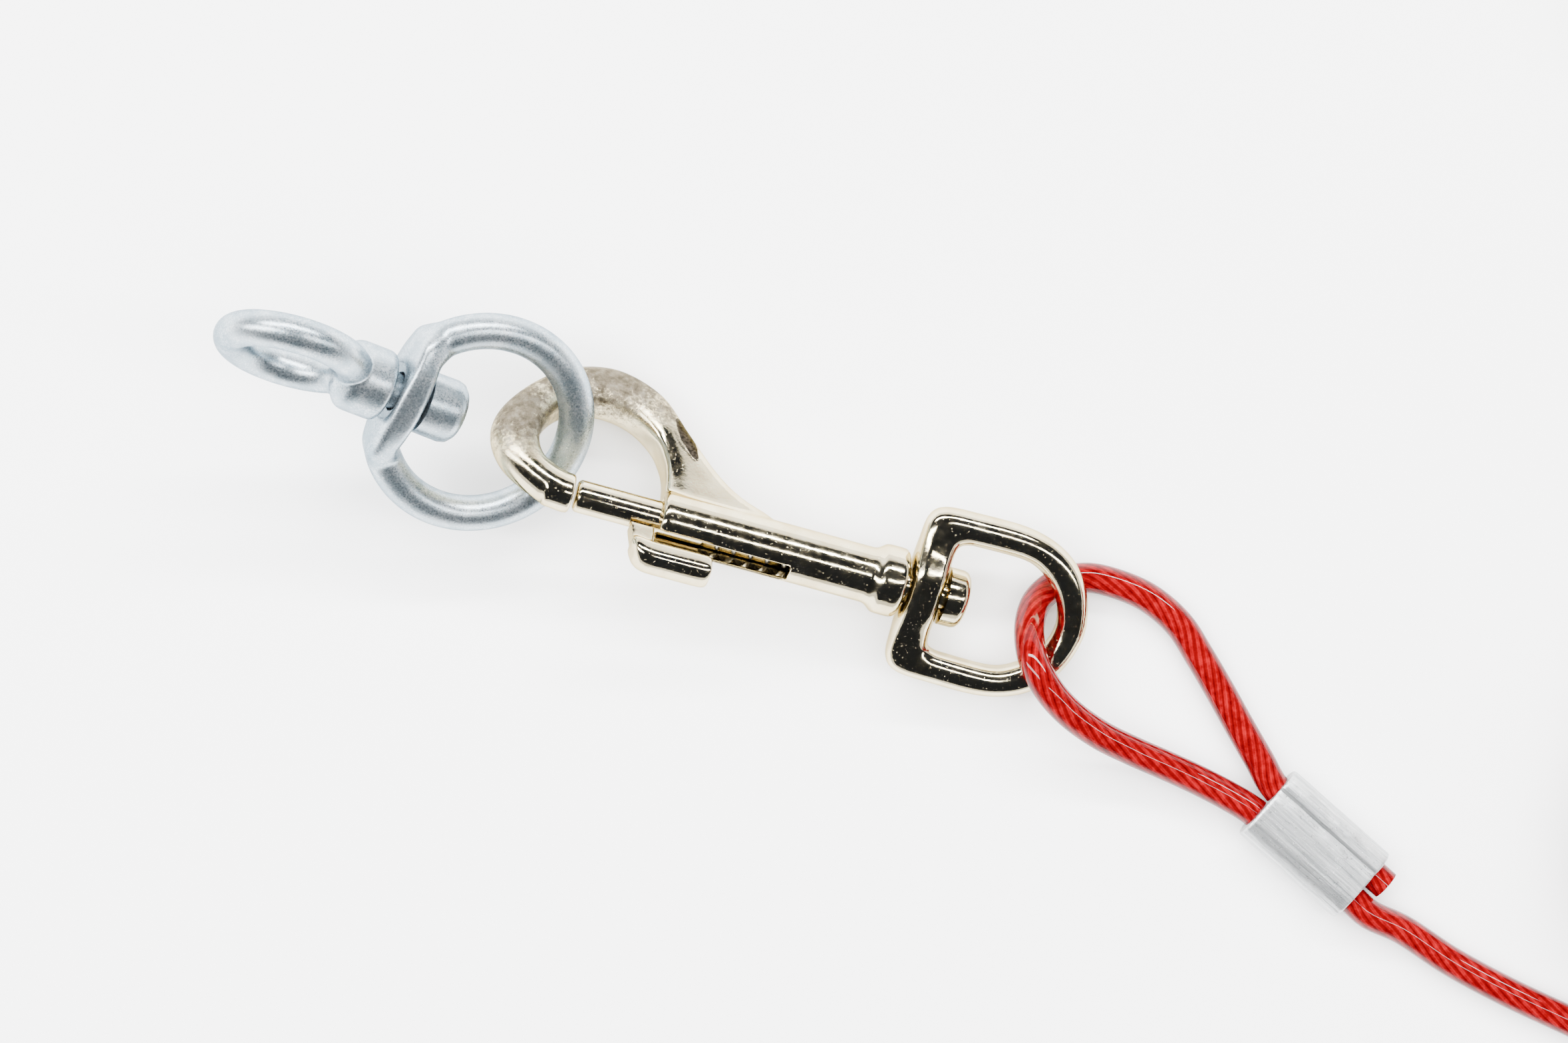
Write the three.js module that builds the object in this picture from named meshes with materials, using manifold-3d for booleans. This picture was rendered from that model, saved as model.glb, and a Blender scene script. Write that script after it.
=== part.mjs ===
// A coated wire-rope tie-out cable with a soft eye, a pressed sleeve and a swivel bolt snap at each end,
// and a zinc eye-and-ring swivel caught in the near snap. Millimetres, +Z up, everything lies on z = 0.
import * as THREE from "three";
import { mergeVertices } from "three/addons/utils/BufferGeometryUtils.js";
import Module from "manifold-3d";

const wasm = await Module();
wasm.setup();

// ---- driving dimensions ----
const GAP = 0.3; // between pieces that touch

const ROPE_R = 2.0; // outside the plastic coat
const BORE_R = 1.5; // inside of the coat
const CORE_R = 1.2; // the steel rope itself

const BARREL_R = 3.7; // bolt snap
const BARREL_LENGTH = 30;
const COLLAR_R = 4.65;
const COLLAR_LENGTH = 3.1;
const BOLT_R = 2.15;
const BOLT_NOSE = -11.2;
const BOLT_TAIL = 6.2;
const BOLT_BORE_R = BOLT_R + GAP;
const BORE_DEPTH = 26;
const SLOT_LENGTH = 17.9;
const SLOT_WIDTH = 3.1;
const HOOK_THICKNESS = 5.8;
const HOOK_EDGE = 1; // rounding of the hook's edges
const TIP_R = 2.6;
const TIP_END = -11.6;
const SPRING_R = 1.75;
const SPRING_WIRE_R = 0.35;
const SPRING_MARGIN = 0.8;
const STUD_R = 2.2; // swivel rivet
const STUD_START = 28.4;
const HEAD_R = 3.85;
const HEAD_START = 38.7;
const HEAD_END = 41.9;
const DEE_FRONT = 33.5; // the D-shaped swivel eye
const DEE_THICKNESS = 4.2;
const DEE_BAR_BACK = 38.4; // the crossbar that the rivet passes through
const DEE_BOSS_R = 3.9;
const DEE_HOLE_R = STUD_R + GAP;

const SNAP_HEIGHT = 5.4; // height of the snap's axis at 56 mm behind the barrel's mouth
const SNAP_HEIGHT_AT = 56;
const SNAP_PITCH = THREE.MathUtils.degToRad(8.7);
const HOOK_ROLL = THREE.MathUtils.degToRad(-37);
const DEE_ROLL = THREE.MathUtils.degToRad(13);

const SLEEVE_LENGTH = 16.6;
const SLEEVE_WIDTH = 11;
const SLEEVE_HEIGHT = 6.6;
const LEG_SPACING = 4.3; // between the two ropes in the sleeve

const RING_R = 12.9; // swivel ring, to the middle of its wire
const RING_WIRE_R = 2.35;
const BOSS_FACE = -12.9; // flat outer face of the ring's boss, along the swivel's axis
const BOSS_THICKNESS = 4.1;
const BOSS_HALF_HEIGHT = 4.9;
const BOSS_HALF_WIDTH = 9.6;
const SINK_R = 3.9; // shallow recess round the stud, and its depth
const SINK_DEPTH = 1.2;
const PIN_R = 2.3;
const PIN_HEAD_R = 4.2;
const PIN_HEAD_END = -2.85;
const SHANK_R = 4.7;
const SHANK_FACE = -13.7;
const SHANK_LENGTH = 5.4;
const SMALL_EYE_R = 7.9;
const SMALL_EYE_CENTRE = -26.8;
const SMALL_EYE_ROLL = THREE.MathUtils.degToRad(54);
const SWIVEL_AT = [-39.3, 12.7, 15.4]; // centre of the ring
const SWIVEL_TURN = [18.6, 24.5, -21].map(THREE.MathUtils.degToRad);

const COIL_TURN_R = 23; // middle of the coil's turns
const COIL_COLUMNS = 5;
const COIL_ROWS = 4;
const COIL_PITCH = 4.1;
const COIL_CENTRE = [139, -41];
const TIE_THICKNESS = 1;
const TIE_WIDTH = 4;
const TIE_ANGLES = [60, 180, 300];
const COIL_FLOOR = TIE_THICKNESS + GAP;

const SNAP_AT = [-16.2, 0.5]; // the near barrel's mouth, seen from above
const SNAP_HEADING = THREE.MathUtils.degToRad(-15.3);
const FAR_ROPE_EXIT = [172.2, -26.5, 0]; // where the rope leaves the far sleeve
const FAR_HEADING = THREE.MathUtils.degToRad(-48);

// The free rope on the ground, from the near sleeve to the coil and from the coil to the far sleeve.
const RUN_TO_COIL = [
  [81.2, -53.6, 2.5], [87.6, -57.8, 2.1], [94.6, -61.6, 2.05], [101.6, -64.9, 2.05], [108.5, -68, 2.05],
  [115.2, -70.6, 2.1], [122, -72.4, 2.6],
];
const RUN_FROM_COIL = [
  [165.1, -65.9, 14.6], [170.2, -59.4, 11.7], [173.6, -51.6, 7.6], [175.0, -43.4, 4.1], [174.6, -35.4, 2.6],
];

// ---- geometry helpers ----
function solid(geometry) {
  const bare = geometry.clone();
  bare.deleteAttribute("normal");
  bare.deleteAttribute("uv");
  const merged = mergeVertices(bare, 1e-3);
  const { array } = merged.attributes.position;
  const triVerts = new Uint32Array(merged.index.array);
  return new wasm.Manifold(new wasm.Mesh({ numProp: 3, vertProperties: array, triVerts }));
}

function geometryOf(manifold) {
  const mesh = manifold.getMesh();
  const geometry = new THREE.BufferGeometry();
  geometry.setAttribute("position", new THREE.BufferAttribute(mesh.vertProperties, 3));
  geometry.setIndex(new THREE.BufferAttribute(mesh.triVerts, 1));
  return geometry;
}

// A solid of revolution about the X axis from [x, radius] points that start and end on the axis.
function turned(profile, sides) {
  const points = profile.map(([x, r]) => new THREE.Vector2(r, x));
  return new THREE.LatheGeometry(points, sides).rotateZ(-Math.PI / 2);
}

function rod(start, end, radius, sides = 20) {
  return turned([[start, 0], [start, radius], [end, radius], [end, 0]], sides);
}

function polygon(radius, sides) {
  const corners = [];
  for (let i = 0; i < sides; i++) {
    const angle = (2 * Math.PI * i) / sides;
    corners.push(new THREE.Vector2(radius * Math.cos(angle), radius * Math.sin(angle)));
  }
  return corners;
}

function curveThrough(points) {
  return new THREE.CatmullRomCurve3(points.map((p) => new THREE.Vector3(...p)));
}

function tube(curve, radius, sides, steps, holeRadius = 0) {
  const shape = new THREE.Shape(polygon(radius, sides));
  if (holeRadius) shape.holes.push(new THREE.Path(polygon(holeRadius, sides)));
  return new THREE.ExtrudeGeometry(shape, { steps, extrudePath: curve, bevelEnabled: false });
}

// A flat shape with rounded edges, centred on z = 0.
function plate(shape, thickness, edge, segments = 2) {
  const depth = thickness - 2 * edge;
  const options = { depth, bevelThickness: edge, bevelSize: edge, bevelOffset: -edge, curveSegments: 8 };
  const geometry = new THREE.ExtrudeGeometry(shape, { ...options, bevelSegments: segments });
  return geometry.translate(0, 0, -depth / 2);
}

function smooth(points, divisions) {
  const curve = new THREE.SplineCurve(points.map((p) => new THREE.Vector2(...p)));
  return curve.getPoints(divisions);
}

function mesh(name, geometry, material) {
  const piece = new THREE.Mesh(geometry, material.clone());
  piece.name = name;
  return piece;
}

// ---- materials ----
const nickel = new THREE.MeshStandardMaterial({ color: 0xd8d2c0, roughness: 0.12, metalness: 1 });
const zinc = new THREE.MeshStandardMaterial({ color: 0xa9b0b6, roughness: 0.35, metalness: 1 });
const aluminium = new THREE.MeshStandardMaterial({ color: 0xc4c6c6, roughness: 0.35, metalness: 1 });
const steel = new THREE.MeshStandardMaterial({ color: 0x8a8d90, roughness: 0.3, metalness: 1 });
const coat = new THREE.MeshStandardMaterial({ color: 0xc8140c, roughness: 0.15, metalness: 0 });
const tieBlack = new THREE.MeshStandardMaterial({ color: 0x16171a, roughness: 0.5, metalness: 0 });

// ---- bolt snap, in its own frame: +X from the hook to the swivel eye, +Y towards the hook's bow ----
const HOOK_OUTER = [
  [17, 2.2], [14.4, 3.7], [11.9, 4.7], [8.9, 6.2], [5.6, 9], [1.8, 13.4], [-1.6, 17.2], [-4.8, 19.5],
  [-9, 20.6],
  [-13.7, 19.7], [-18.4, 16.3], [-22.1, 11.7], [-23.6, 7.4], [-23.2, 4.4], [-21, 1.6],
  [-18, -0.6], [-14.6, -2.1], [TIP_END, -TIP_R],
];
const HOOK_INNER = [
  [TIP_END, TIP_R], [-14.2, 2.8], [-16.2, 3.9], [-17.2, 6.2], [-16.9, 8.9], [-15.3, 11.7],
  [-12.7, 13.5], [-9, 14.1], [-5.4, 13.2], [-2.5, 11], [-0.9, 8.2], [-0.1, 5], [0, 1],
];

function hookShape() {
  const outline = [...smooth(HOOK_OUTER, 36), ...smooth(HOOK_INNER, 26)];
  outline.push(new THREE.Vector2(0, -1), new THREE.Vector2(14, -1));
  return new THREE.Shape(outline);
}

function snapBody() {
  const end = BARREL_LENGTH + COLLAR_LENGTH;
  const barrel = turned([
    [0, 0], [0, BARREL_R - 0.4], [0.4, BARREL_R], [BARREL_LENGTH - 0.9, BARREL_R],
    [BARREL_LENGTH, COLLAR_R], [end - 0.4, COLLAR_R], [end, COLLAR_R - 0.4], [end, 0],
  ], 24);
  const tip = turned([
    [TIP_END - 4, 0], [TIP_END - 4, TIP_R], [TIP_END - 0.3, TIP_R], [TIP_END, TIP_R - 0.3], [TIP_END, 0],
  ], 16);
  const slot = new THREE.BoxGeometry(SLOT_LENGTH + 4, 2 * BARREL_R, SLOT_WIDTH);
  slot.translate(SLOT_LENGTH / 2 - 2, -BARREL_R, 0);
  return solid(plate(hookShape(), HOOK_THICKNESS, HOOK_EDGE))
    .add(solid(barrel))
    .add(solid(tip))
    .subtract(solid(rod(-4, BORE_DEPTH, BOLT_BORE_R, 16)))
    .subtract(solid(slot))
    .subtract(solid(rod(STUD_START - GAP, end + 2, STUD_R + GAP, 16)));
}

function bolt() {
  return turned([
    [BOLT_NOSE, 0], [BOLT_NOSE, BOLT_R - 0.4], [BOLT_NOSE + 0.4, BOLT_R], [BOLT_TAIL, BOLT_R], [BOLT_TAIL, 0],
  ], 16);
}

// The thumb piece: a stem that runs in the slot and a lug that reaches back over the barrel.
function thumbPiece() {
  const outline = [
    [-3.7, -BOLT_R - 0.4], [-0.35, -BOLT_R - 0.4], [-0.35, -5.3], [7.2, -5.3], [7.6, -5.8],
    [7.6, -7.4], [7.2, -7.8], [-1, -7.8], [-2.4, -6.6],
  ];
  const shape = new THREE.Shape(outline.map((p) => new THREE.Vector2(...p)));
  const lug = solid(plate(shape, 4.2, 0.5, 1));
  const thinner = new THREE.BoxGeometry(6, 4, 4);
  const side = (SLOT_WIDTH - 2 * GAP) / 2 + 2;
  const above = solid(thinner.clone().translate(-1, -2.9, side));
  const below = solid(thinner.clone().translate(-1, -2.9, -side));
  return lug.subtract(above).subtract(below);
}

function returnSpring() {
  const start = BOLT_TAIL + SPRING_MARGIN;
  const end = BORE_DEPTH - SPRING_MARGIN;
  const turns = 7;
  const points = [];
  for (let i = 0; i <= turns * 8; i++) {
    const angle = (i * Math.PI) / 4;
    const x = start + ((end - start) * i) / (turns * 8);
    points.push([x, SPRING_R * Math.cos(angle), SPRING_R * Math.sin(angle)]);
  }
  return tube(curveThrough(points), SPRING_WIRE_R, 5, turns * 8);
}

function swivelRivet() {
  return turned([
    [STUD_START, 0], [STUD_START, STUD_R], [HEAD_START, STUD_R], [HEAD_START, HEAD_R],
    [HEAD_END - 1, HEAD_R], [HEAD_END - 0.3, HEAD_R - 0.7], [HEAD_END, HEAD_R - 1.8], [HEAD_END, 0],
  ], 20);
}

const DEE_OUTER = [[47, 11.7], [51.6, 10.5], [54.9, 8.2], [57.1, 4.8], [58.2, 0]];
const DEE_INNER = [[47, 7.5], [49.6, 6.8], [52, 5], [53.6, 2.6], [54.2, 0]];

function mirrored(points) {
  const below = points.slice(0, -1).map(([x, y]) => [x, -y]);
  return [...points, ...below.reverse()];
}

function swivelDee() {
  const outer = [[DEE_FRONT + 1.2, 11.4], ...smooth(mirrored(DEE_OUTER), 20).map((p) => p.toArray())];
  outer.push([DEE_FRONT + 1.2, -11.4], [DEE_FRONT, -10.2], [DEE_FRONT, 10.2]);
  const bend = smooth(mirrored(DEE_INNER), 16).map((p) => p.toArray());
  const inner = [[DEE_BAR_BACK, 7.4], ...bend, [DEE_BAR_BACK, -7.4]];
  const shape = new THREE.Shape(outer.reverse().map((p) => new THREE.Vector2(...p)));
  shape.holes.push(new THREE.Path(inner.map((p) => new THREE.Vector2(...p))));
  return solid(plate(shape, DEE_THICKNESS, 1.1))
    .add(solid(rod(DEE_FRONT, DEE_BAR_BACK, DEE_BOSS_R, 24)))
    .subtract(solid(rod(DEE_FRONT - 2, DEE_BAR_BACK + 2, DEE_HOLE_R, 16)));
}

// ---- the soft eye and its sleeve, in the frame of the snap's shadow on the ground ----
// +X from the hook to the eye, origin under the barrel's mouth. The rope starts at its cut tail,
// passes the sleeve, goes round the eye, passes the sleeve again and leaves it.
const SLEEVE_AT = [94.05, -18.64, SLEEVE_HEIGHT / 2];
const SLEEVE_TURN = THREE.MathUtils.degToRad(-26.3);
const TAIL_STUB = 2.4;
const ROPE_STUB = 1.2;
const EYE_ROUTE = [
  [84.3, -10, 2.9], [80.5, -6.2, 2.4], [76.9, -2.5, 2.15], [73.1, 1.2, 2.1], [69.4, 4.5, 2.1],
  [64.8, 6.7, 2.1], [60.5, 7.4, 2.1], [56.2, 7.2, 2.1], [52.6, 5.4, 2.4], [50.6, 2.6, 3.5],
  [50.3, -1, 6.3], [51.7, -4.9, 9.3], [54.3, -7.9, 10.1], [57.7, -10.2, 9.2], [62.6, -12.1, 7.3],
  [67.5, -13.1, 5.4], [72.2, -13.8, 4.4], [77, -14.6, 3.7], [81.6, -15.6, 3.4],
];

function besideSleeve(along, across) {
  const cos = Math.cos(SLEEVE_TURN);
  const sin = Math.sin(SLEEVE_TURN);
  return [SLEEVE_AT[0] + along * cos - across * sin, SLEEVE_AT[1] + along * sin + across * cos, SLEEVE_AT[2]];
}

function eyeCurve() {
  const half = SLEEVE_LENGTH / 2;
  const across = LEG_SPACING / 2;
  return curveThrough([
    besideSleeve(half + TAIL_STUB, across), besideSleeve(0, across), besideSleeve(-half - 0.5, across),
    ...EYE_ROUTE,
    besideSleeve(-half - 0.5, -across), besideSleeve(0, -across), besideSleeve(half + ROPE_STUB, -across),
  ]);
}

function sleeve() {
  const half = SLEEVE_WIDTH / 2;
  const top = SLEEVE_HEIGHT / 2;
  const outline = [
    [-2.6, -top], [2.6, -top], [4.2, -top + 0.5], [half - 0.3, -1.5], [half, 0], [half - 0.3, 1.5],
    [4.2, top - 0.5], [2.9, top - 0.1], [1.9, top - 0.75], [0.9, top - 0.1], [-2.6, top],
    [-4.2, top - 0.5], [-half + 0.3, 1.5], [-half, 0], [-half + 0.3, -1.5], [-4.2, -top + 0.5],
  ];
  const shape = new THREE.Shape(outline.map((p) => new THREE.Vector2(...p)));
  const body = new THREE.ExtrudeGeometry(shape, { depth: SLEEVE_LENGTH, bevelEnabled: false });
  body.translate(0, 0, -SLEEVE_LENGTH / 2);
  body.applyMatrix4(new THREE.Matrix4().set(0, 0, 1, 0, 1, 0, 0, 0, 0, 1, 0, 0, 0, 0, 0, 1));
  const reach = SLEEVE_LENGTH / 2 + 1;
  const upper = solid(rod(-reach, reach, ROPE_R + GAP, 12).translate(0, LEG_SPACING / 2, 0));
  const lower = solid(rod(-reach, reach, ROPE_R + GAP, 12).translate(0, -LEG_SPACING / 2, 0));
  return solid(body).subtract(upper).subtract(lower);
}

// One finished end of the cable: eye, sleeve, and the bolt snap that hangs in the eye.
function cableEnd(prefix) {
  const end = new THREE.Group();
  const curve = eyeCurve();
  end.add(mesh(prefix + "eye_coat", tube(curve, ROPE_R, 10, 46, BORE_R), coat));
  end.add(mesh(prefix + "eye_rope_core", tube(curve, CORE_R, 6, 46), steel));
  const pressed = mesh(prefix + "pressed_sleeve", geometryOf(sleeve()), aluminium);
  pressed.position.set(...SLEEVE_AT);
  pressed.rotation.z = SLEEVE_TURN;
  end.add(pressed);

  const axis = new THREE.Group();
  axis.position.z = SNAP_HEIGHT + SNAP_HEIGHT_AT * Math.sin(SNAP_PITCH);
  axis.rotation.y = SNAP_PITCH;
  const dee = mesh(prefix + "snap_swivel_eye", geometryOf(swivelDee()), nickel);
  dee.rotation.x = DEE_ROLL;
  const hook = new THREE.Group();
  hook.rotation.x = HOOK_ROLL;
  hook.add(mesh(prefix + "snap_body", geometryOf(snapBody()), nickel));
  hook.add(mesh(prefix + "snap_swivel_rivet", swivelRivet(), nickel));
  hook.add(mesh(prefix + "snap_bolt", bolt(), nickel));
  hook.add(mesh(prefix + "snap_thumb_piece", geometryOf(thumbPiece()), nickel));
  hook.add(mesh(prefix + "snap_return_spring", returnSpring(), steel));
  axis.add(dee, hook);
  end.add(axis);
  return end;
}

// ---- the swivel, along +X from its small eye to its ring ----
function swivelRing() {
  const torus = new THREE.TorusGeometry(RING_R, RING_WIRE_R, 12, 32);
  const half = BOSS_HALF_WIDTH;
  const upper = [
    [-half, 1.9], [-7.6, 2.9], [-3.8, 4.3], [0, BOSS_HALF_HEIGHT], [3.8, 4.3], [7.6, 2.9],
    [half, 1.9], [half + 0.3, 0],
  ];
  const lens = new THREE.Shape(mirrored(upper).map((p) => new THREE.Vector2(...p)));
  const boss = plate(lens, BOSS_THICKNESS, 0.5, 1);
  boss.applyMatrix4(new THREE.Matrix4().set(0, 0, 1, 0, 1, 0, 0, 0, 0, 1, 0, 0, 0, 0, 0, 1));
  boss.translate(BOSS_FACE + BOSS_THICKNESS / 2, 0, 0);
  const beyond = new THREE.BoxGeometry(6, 40, 12).translate(BOSS_FACE - 3, 0, 0);
  return solid(torus)
    .add(solid(boss))
    .subtract(solid(beyond))
    .subtract(solid(rod(BOSS_FACE - 2, BOSS_FACE + BOSS_THICKNESS + 2, PIN_R + GAP, 16)))
    .subtract(solid(rod(BOSS_FACE - 2, BOSS_FACE + SINK_DEPTH, SINK_R, 20)));
}

function smallEye() {
  const torus = new THREE.TorusGeometry(SMALL_EYE_R, RING_WIRE_R, 12, 28).rotateX(SMALL_EYE_ROLL);
  torus.translate(SMALL_EYE_CENTRE, 0, 0);
  const root = SHANK_FACE - SHANK_LENGTH;
  const shank = turned([
    [root - 1.6, 0], [root - 1.6, 2.2], [root - 0.6, 3.6], [root, 4.5], [root + 0.8, SHANK_R],
    [SHANK_FACE - 0.5, SHANK_R], [SHANK_FACE, SHANK_R - 0.5], [SHANK_FACE, 0],
  ], 20);
  const hole = rod(SHANK_FACE - 4.6, SHANK_FACE + 1, PIN_R + GAP, 16);
  return solid(torus).add(solid(shank)).subtract(solid(hole));
}

function swivelPin() {
  const head = BOSS_FACE + BOSS_THICKNESS + GAP;
  return turned([
    [SHANK_FACE - 4.3, 0], [SHANK_FACE - 4.3, PIN_R], [head, PIN_R], [head, PIN_HEAD_R],
    [PIN_HEAD_END - 1.3, PIN_HEAD_R], [PIN_HEAD_END, PIN_HEAD_R - 1.3], [PIN_HEAD_END, 0],
  ], 20);
}

function swivel() {
  const group = new THREE.Group();
  group.position.set(...SWIVEL_AT);
  group.rotation.set(...SWIVEL_TURN, "ZYX");
  group.add(mesh("swivel_ring", geometryOf(swivelRing()), zinc));
  group.add(mesh("swivel_small_eye", geometryOf(smallEye()), zinc));
  group.add(mesh("swivel_pin", swivelPin(), zinc));
  return group;
}

// ---- free rope, coil and ties ----
const COIL_HALF_WIDTH = ((COIL_COLUMNS - 1) * COIL_PITCH) / 2 + ROPE_R;
const COIL_HEIGHT = (COIL_ROWS - 1) * COIL_PITCH + 2 * ROPE_R;

function coil() {
  const inner = COIL_TURN_R - COIL_HALF_WIDTH;
  const outer = COIL_TURN_R + COIL_HALF_WIDTH;
  const top = COIL_HEIGHT;
  const cut = 1.2;
  const profile = [
    [inner + cut, 0], [outer - cut, 0], [outer, cut], [outer, top - cut], [outer - cut, top],
    [inner + cut, top], [inner, top - cut], [inner, cut], [inner + cut, 0],
  ];
  const ring = new THREE.LatheGeometry(profile.map((p) => new THREE.Vector2(...p)), 32);
  return ring.rotateX(Math.PI / 2);
}

// A strap once round the coil's section, in the plane of +X (outwards) and +Z.
function tie() {
  const box = (out) => {
    const x = COIL_HALF_WIDTH + out;
    const low = -out;
    const high = COIL_HEIGHT + out;
    return [[-x, low], [x, low], [x, high], [-x, high]].map((p) => new THREE.Vector2(...p));
  };
  const shape = new THREE.Shape(box(GAP + TIE_THICKNESS));
  shape.holes.push(new THREE.Path(box(GAP)));
  const strap = new THREE.ExtrudeGeometry(shape, { depth: TIE_WIDTH, bevelEnabled: false });
  return strap.translate(COIL_TURN_R, 0, -TIE_WIDTH / 2).rotateX(Math.PI / 2);
}

function ropeTube(points) {
  return tube(curveThrough(points), ROPE_R, 8, 2 * points.length);
}

function storedRope(nearExit, farExit) {
  const group = new THREE.Group();
  group.add(mesh("rope_run_to_coil", ropeTube([...nearExit, ...RUN_TO_COIL]), coat));
  group.add(mesh("rope_run_from_coil", ropeTube([...RUN_FROM_COIL, ...farExit.reverse()]), coat));
  const wound = new THREE.Group();
  wound.position.set(...COIL_CENTRE, COIL_FLOOR);
  wound.add(mesh("rope_coil", coil(), coat));
  TIE_ANGLES.forEach((angle, i) => {
    const strap = mesh("coil_tie_" + (i + 1), tie(), tieBlack);
    strap.rotation.z = THREE.MathUtils.degToRad(angle);
    wound.add(strap);
  });
  group.add(wound);
  return group;
}

// ---- assembly ----
const ROPE_EXIT = new THREE.Vector3(...besideSleeve(SLEEVE_LENGTH / 2 + ROPE_STUB, -LEG_SPACING / 2));
const UP = new THREE.Vector3(0, 0, 1);

function placedEnd(prefix, position, heading) {
  const end = cableEnd(prefix);
  end.position.copy(position);
  end.rotation.z = heading;
  return end;
}

// Two points straight on from the sleeve, where the free rope starts.
function exitBeyond(position, heading) {
  return [GAP, 2].map((beyond) => {
    const along = new THREE.Vector3(beyond, 0, 0).applyAxisAngle(UP, SLEEVE_TURN);
    return ROPE_EXIT.clone().add(along).applyAxisAngle(UP, heading).add(position).toArray();
  });
}

const nearAt = new THREE.Vector3(...SNAP_AT, 0);
const exitTurned = ROPE_EXIT.clone().setZ(0).applyAxisAngle(UP, FAR_HEADING);
const farAt = new THREE.Vector3(...FAR_ROPE_EXIT).sub(exitTurned);
const nearEnd = new THREE.Group();
nearEnd.add(placedEnd("", nearAt, SNAP_HEADING), swivel());
const centre = new THREE.Box3().setFromObject(nearEnd, true).getCenter(new THREE.Vector3());

const laid = new THREE.Group();
laid.position.set(-centre.x, -centre.y, 0); // the near end stands centred on the origin
laid.add(nearEnd, placedEnd("far_", farAt, FAR_HEADING));
laid.add(storedRope(exitBeyond(nearAt, SNAP_HEADING), exitBeyond(farAt, FAR_HEADING)));
const part = new THREE.Group();
part.add(laid);

export default part;
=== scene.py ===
"""A red coated wire-rope cable with a soft eye, a pressed sleeve and a nickel bolt snap at each end, and a
zinc swivel in the near snap. Shapes are made in millimetres in each piece's own frame, and placed in metres.
"""
import math

import bpy
import numpy as np
from mathutils import Matrix, Vector


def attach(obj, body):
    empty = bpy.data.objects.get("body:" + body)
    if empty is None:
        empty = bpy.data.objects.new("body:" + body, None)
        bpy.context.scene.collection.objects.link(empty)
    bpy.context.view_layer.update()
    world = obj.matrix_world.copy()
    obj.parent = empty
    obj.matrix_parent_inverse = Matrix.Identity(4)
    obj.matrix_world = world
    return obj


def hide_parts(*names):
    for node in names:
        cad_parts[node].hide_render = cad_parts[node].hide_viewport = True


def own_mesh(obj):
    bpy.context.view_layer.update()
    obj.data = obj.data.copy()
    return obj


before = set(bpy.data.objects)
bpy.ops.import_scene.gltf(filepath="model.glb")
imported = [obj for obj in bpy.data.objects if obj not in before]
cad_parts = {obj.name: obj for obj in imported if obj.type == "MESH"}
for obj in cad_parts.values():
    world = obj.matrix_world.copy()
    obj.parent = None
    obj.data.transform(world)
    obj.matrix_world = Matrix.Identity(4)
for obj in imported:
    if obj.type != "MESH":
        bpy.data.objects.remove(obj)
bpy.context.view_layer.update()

MM = 0.001

# ---- frames of the pieces, as in the CAD model (millimetres) ----
def turn(degrees, axis):
    return Matrix.Rotation(math.radians(degrees), 4, axis)


SNAP_SLOPE = 8.7  # degrees that a snap slopes down from its hook to its swivel eye
EYE_REACH, EYE_HEIGHT = 56, 5.4  # the snap's axis is EYE_HEIGHT above the ground at EYE_REACH along it
HOOK_ROLL, EYE_ROLL = -37, 13  # degrees about the snap's axis


def snap_frames(position, heading):
    """The rope's frame on the ground, the hook's frame and the swivel eye's frame of one cable end."""
    ground = Matrix.Translation((*position, 0)) @ turn(heading, "Z")
    height = EYE_HEIGHT + EYE_REACH * math.sin(math.radians(SNAP_SLOPE))
    axis = ground @ Matrix.Translation((0, 0, height)) @ turn(SNAP_SLOPE, "Y")
    return ground, axis @ turn(HOOK_ROLL, "X"), axis @ turn(EYE_ROLL, "X")


SLEEVE_AT, SLEEVE_TURN = (94.05, -18.64, 3.3), -26.3
SLEEVE_LENGTH, SLEEVE_WIDTH, SLEEVE_HEIGHT, LEG_SPACING = 16.6, 11.0, 6.6, 4.3
ROPE_R = 2.0
CENTRE = (4.12886, -12.64299)  # the middle of the near end, which the origin lies under
NEAR_AT = (-16.2 - CENTRE[0], 0.5 - CENTRE[1])
SWIVEL = (Matrix.Translation((-39.3 - CENTRE[0], 12.7 - CENTRE[1], 15.4))
          @ turn(-21, "Z") @ turn(24.5, "Y") @ turn(18.6, "X"))


def beside_sleeve(along, across):
    c, s = math.cos(math.radians(SLEEVE_TURN)), math.sin(math.radians(SLEEVE_TURN))
    return (SLEEVE_AT[0] + along * c - across * s, SLEEVE_AT[1] + along * s + across * c, SLEEVE_AT[2])


ROPE_EXIT = Vector(beside_sleeve(SLEEVE_LENGTH / 2 + 1.2, -LEG_SPACING / 2))
NEAR_HEADING, FAR_HEADING = -15.3, -48
exit_turned = turn(FAR_HEADING, "Z") @ Vector((ROPE_EXIT.x, ROPE_EXIT.y, 0))
FAR_AT = (172.2 - CENTRE[0] - exit_turned.x, -26.5 - CENTRE[1] - exit_turned.y)
NEAR = snap_frames(NEAR_AT, NEAR_HEADING)
FAR = snap_frames(FAR_AT, FAR_HEADING)

# ---- camera: straight down; it sees VIEW_WIDTH millimetres across at VIEW_DISTANCE ----
CAMERA_HEIGHT, SENSOR = 0.606, 36
VIEW_WIDTH, VIEW_DISTANCE = 204.96, 600
camera = bpy.data.objects.new("camera", bpy.data.cameras.new("camera"))
camera.location = (-CENTRE[0] * MM, -CENTRE[1] * MM, CAMERA_HEIGHT)
camera.data.sensor_width = SENSOR
camera.data.lens = SENSOR * VIEW_DISTANCE / VIEW_WIDTH
camera.data.clip_start = 0.01
bpy.context.collection.objects.link(camera)
bpy.context.scene.camera = camera


# ---- mesh helpers ----
def mesh_of(name, vertices, faces):
    mesh = bpy.data.meshes.new(name)
    mesh.from_pydata([tuple(v) for v in vertices], [], faces)
    mesh.update()
    return mesh


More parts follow.
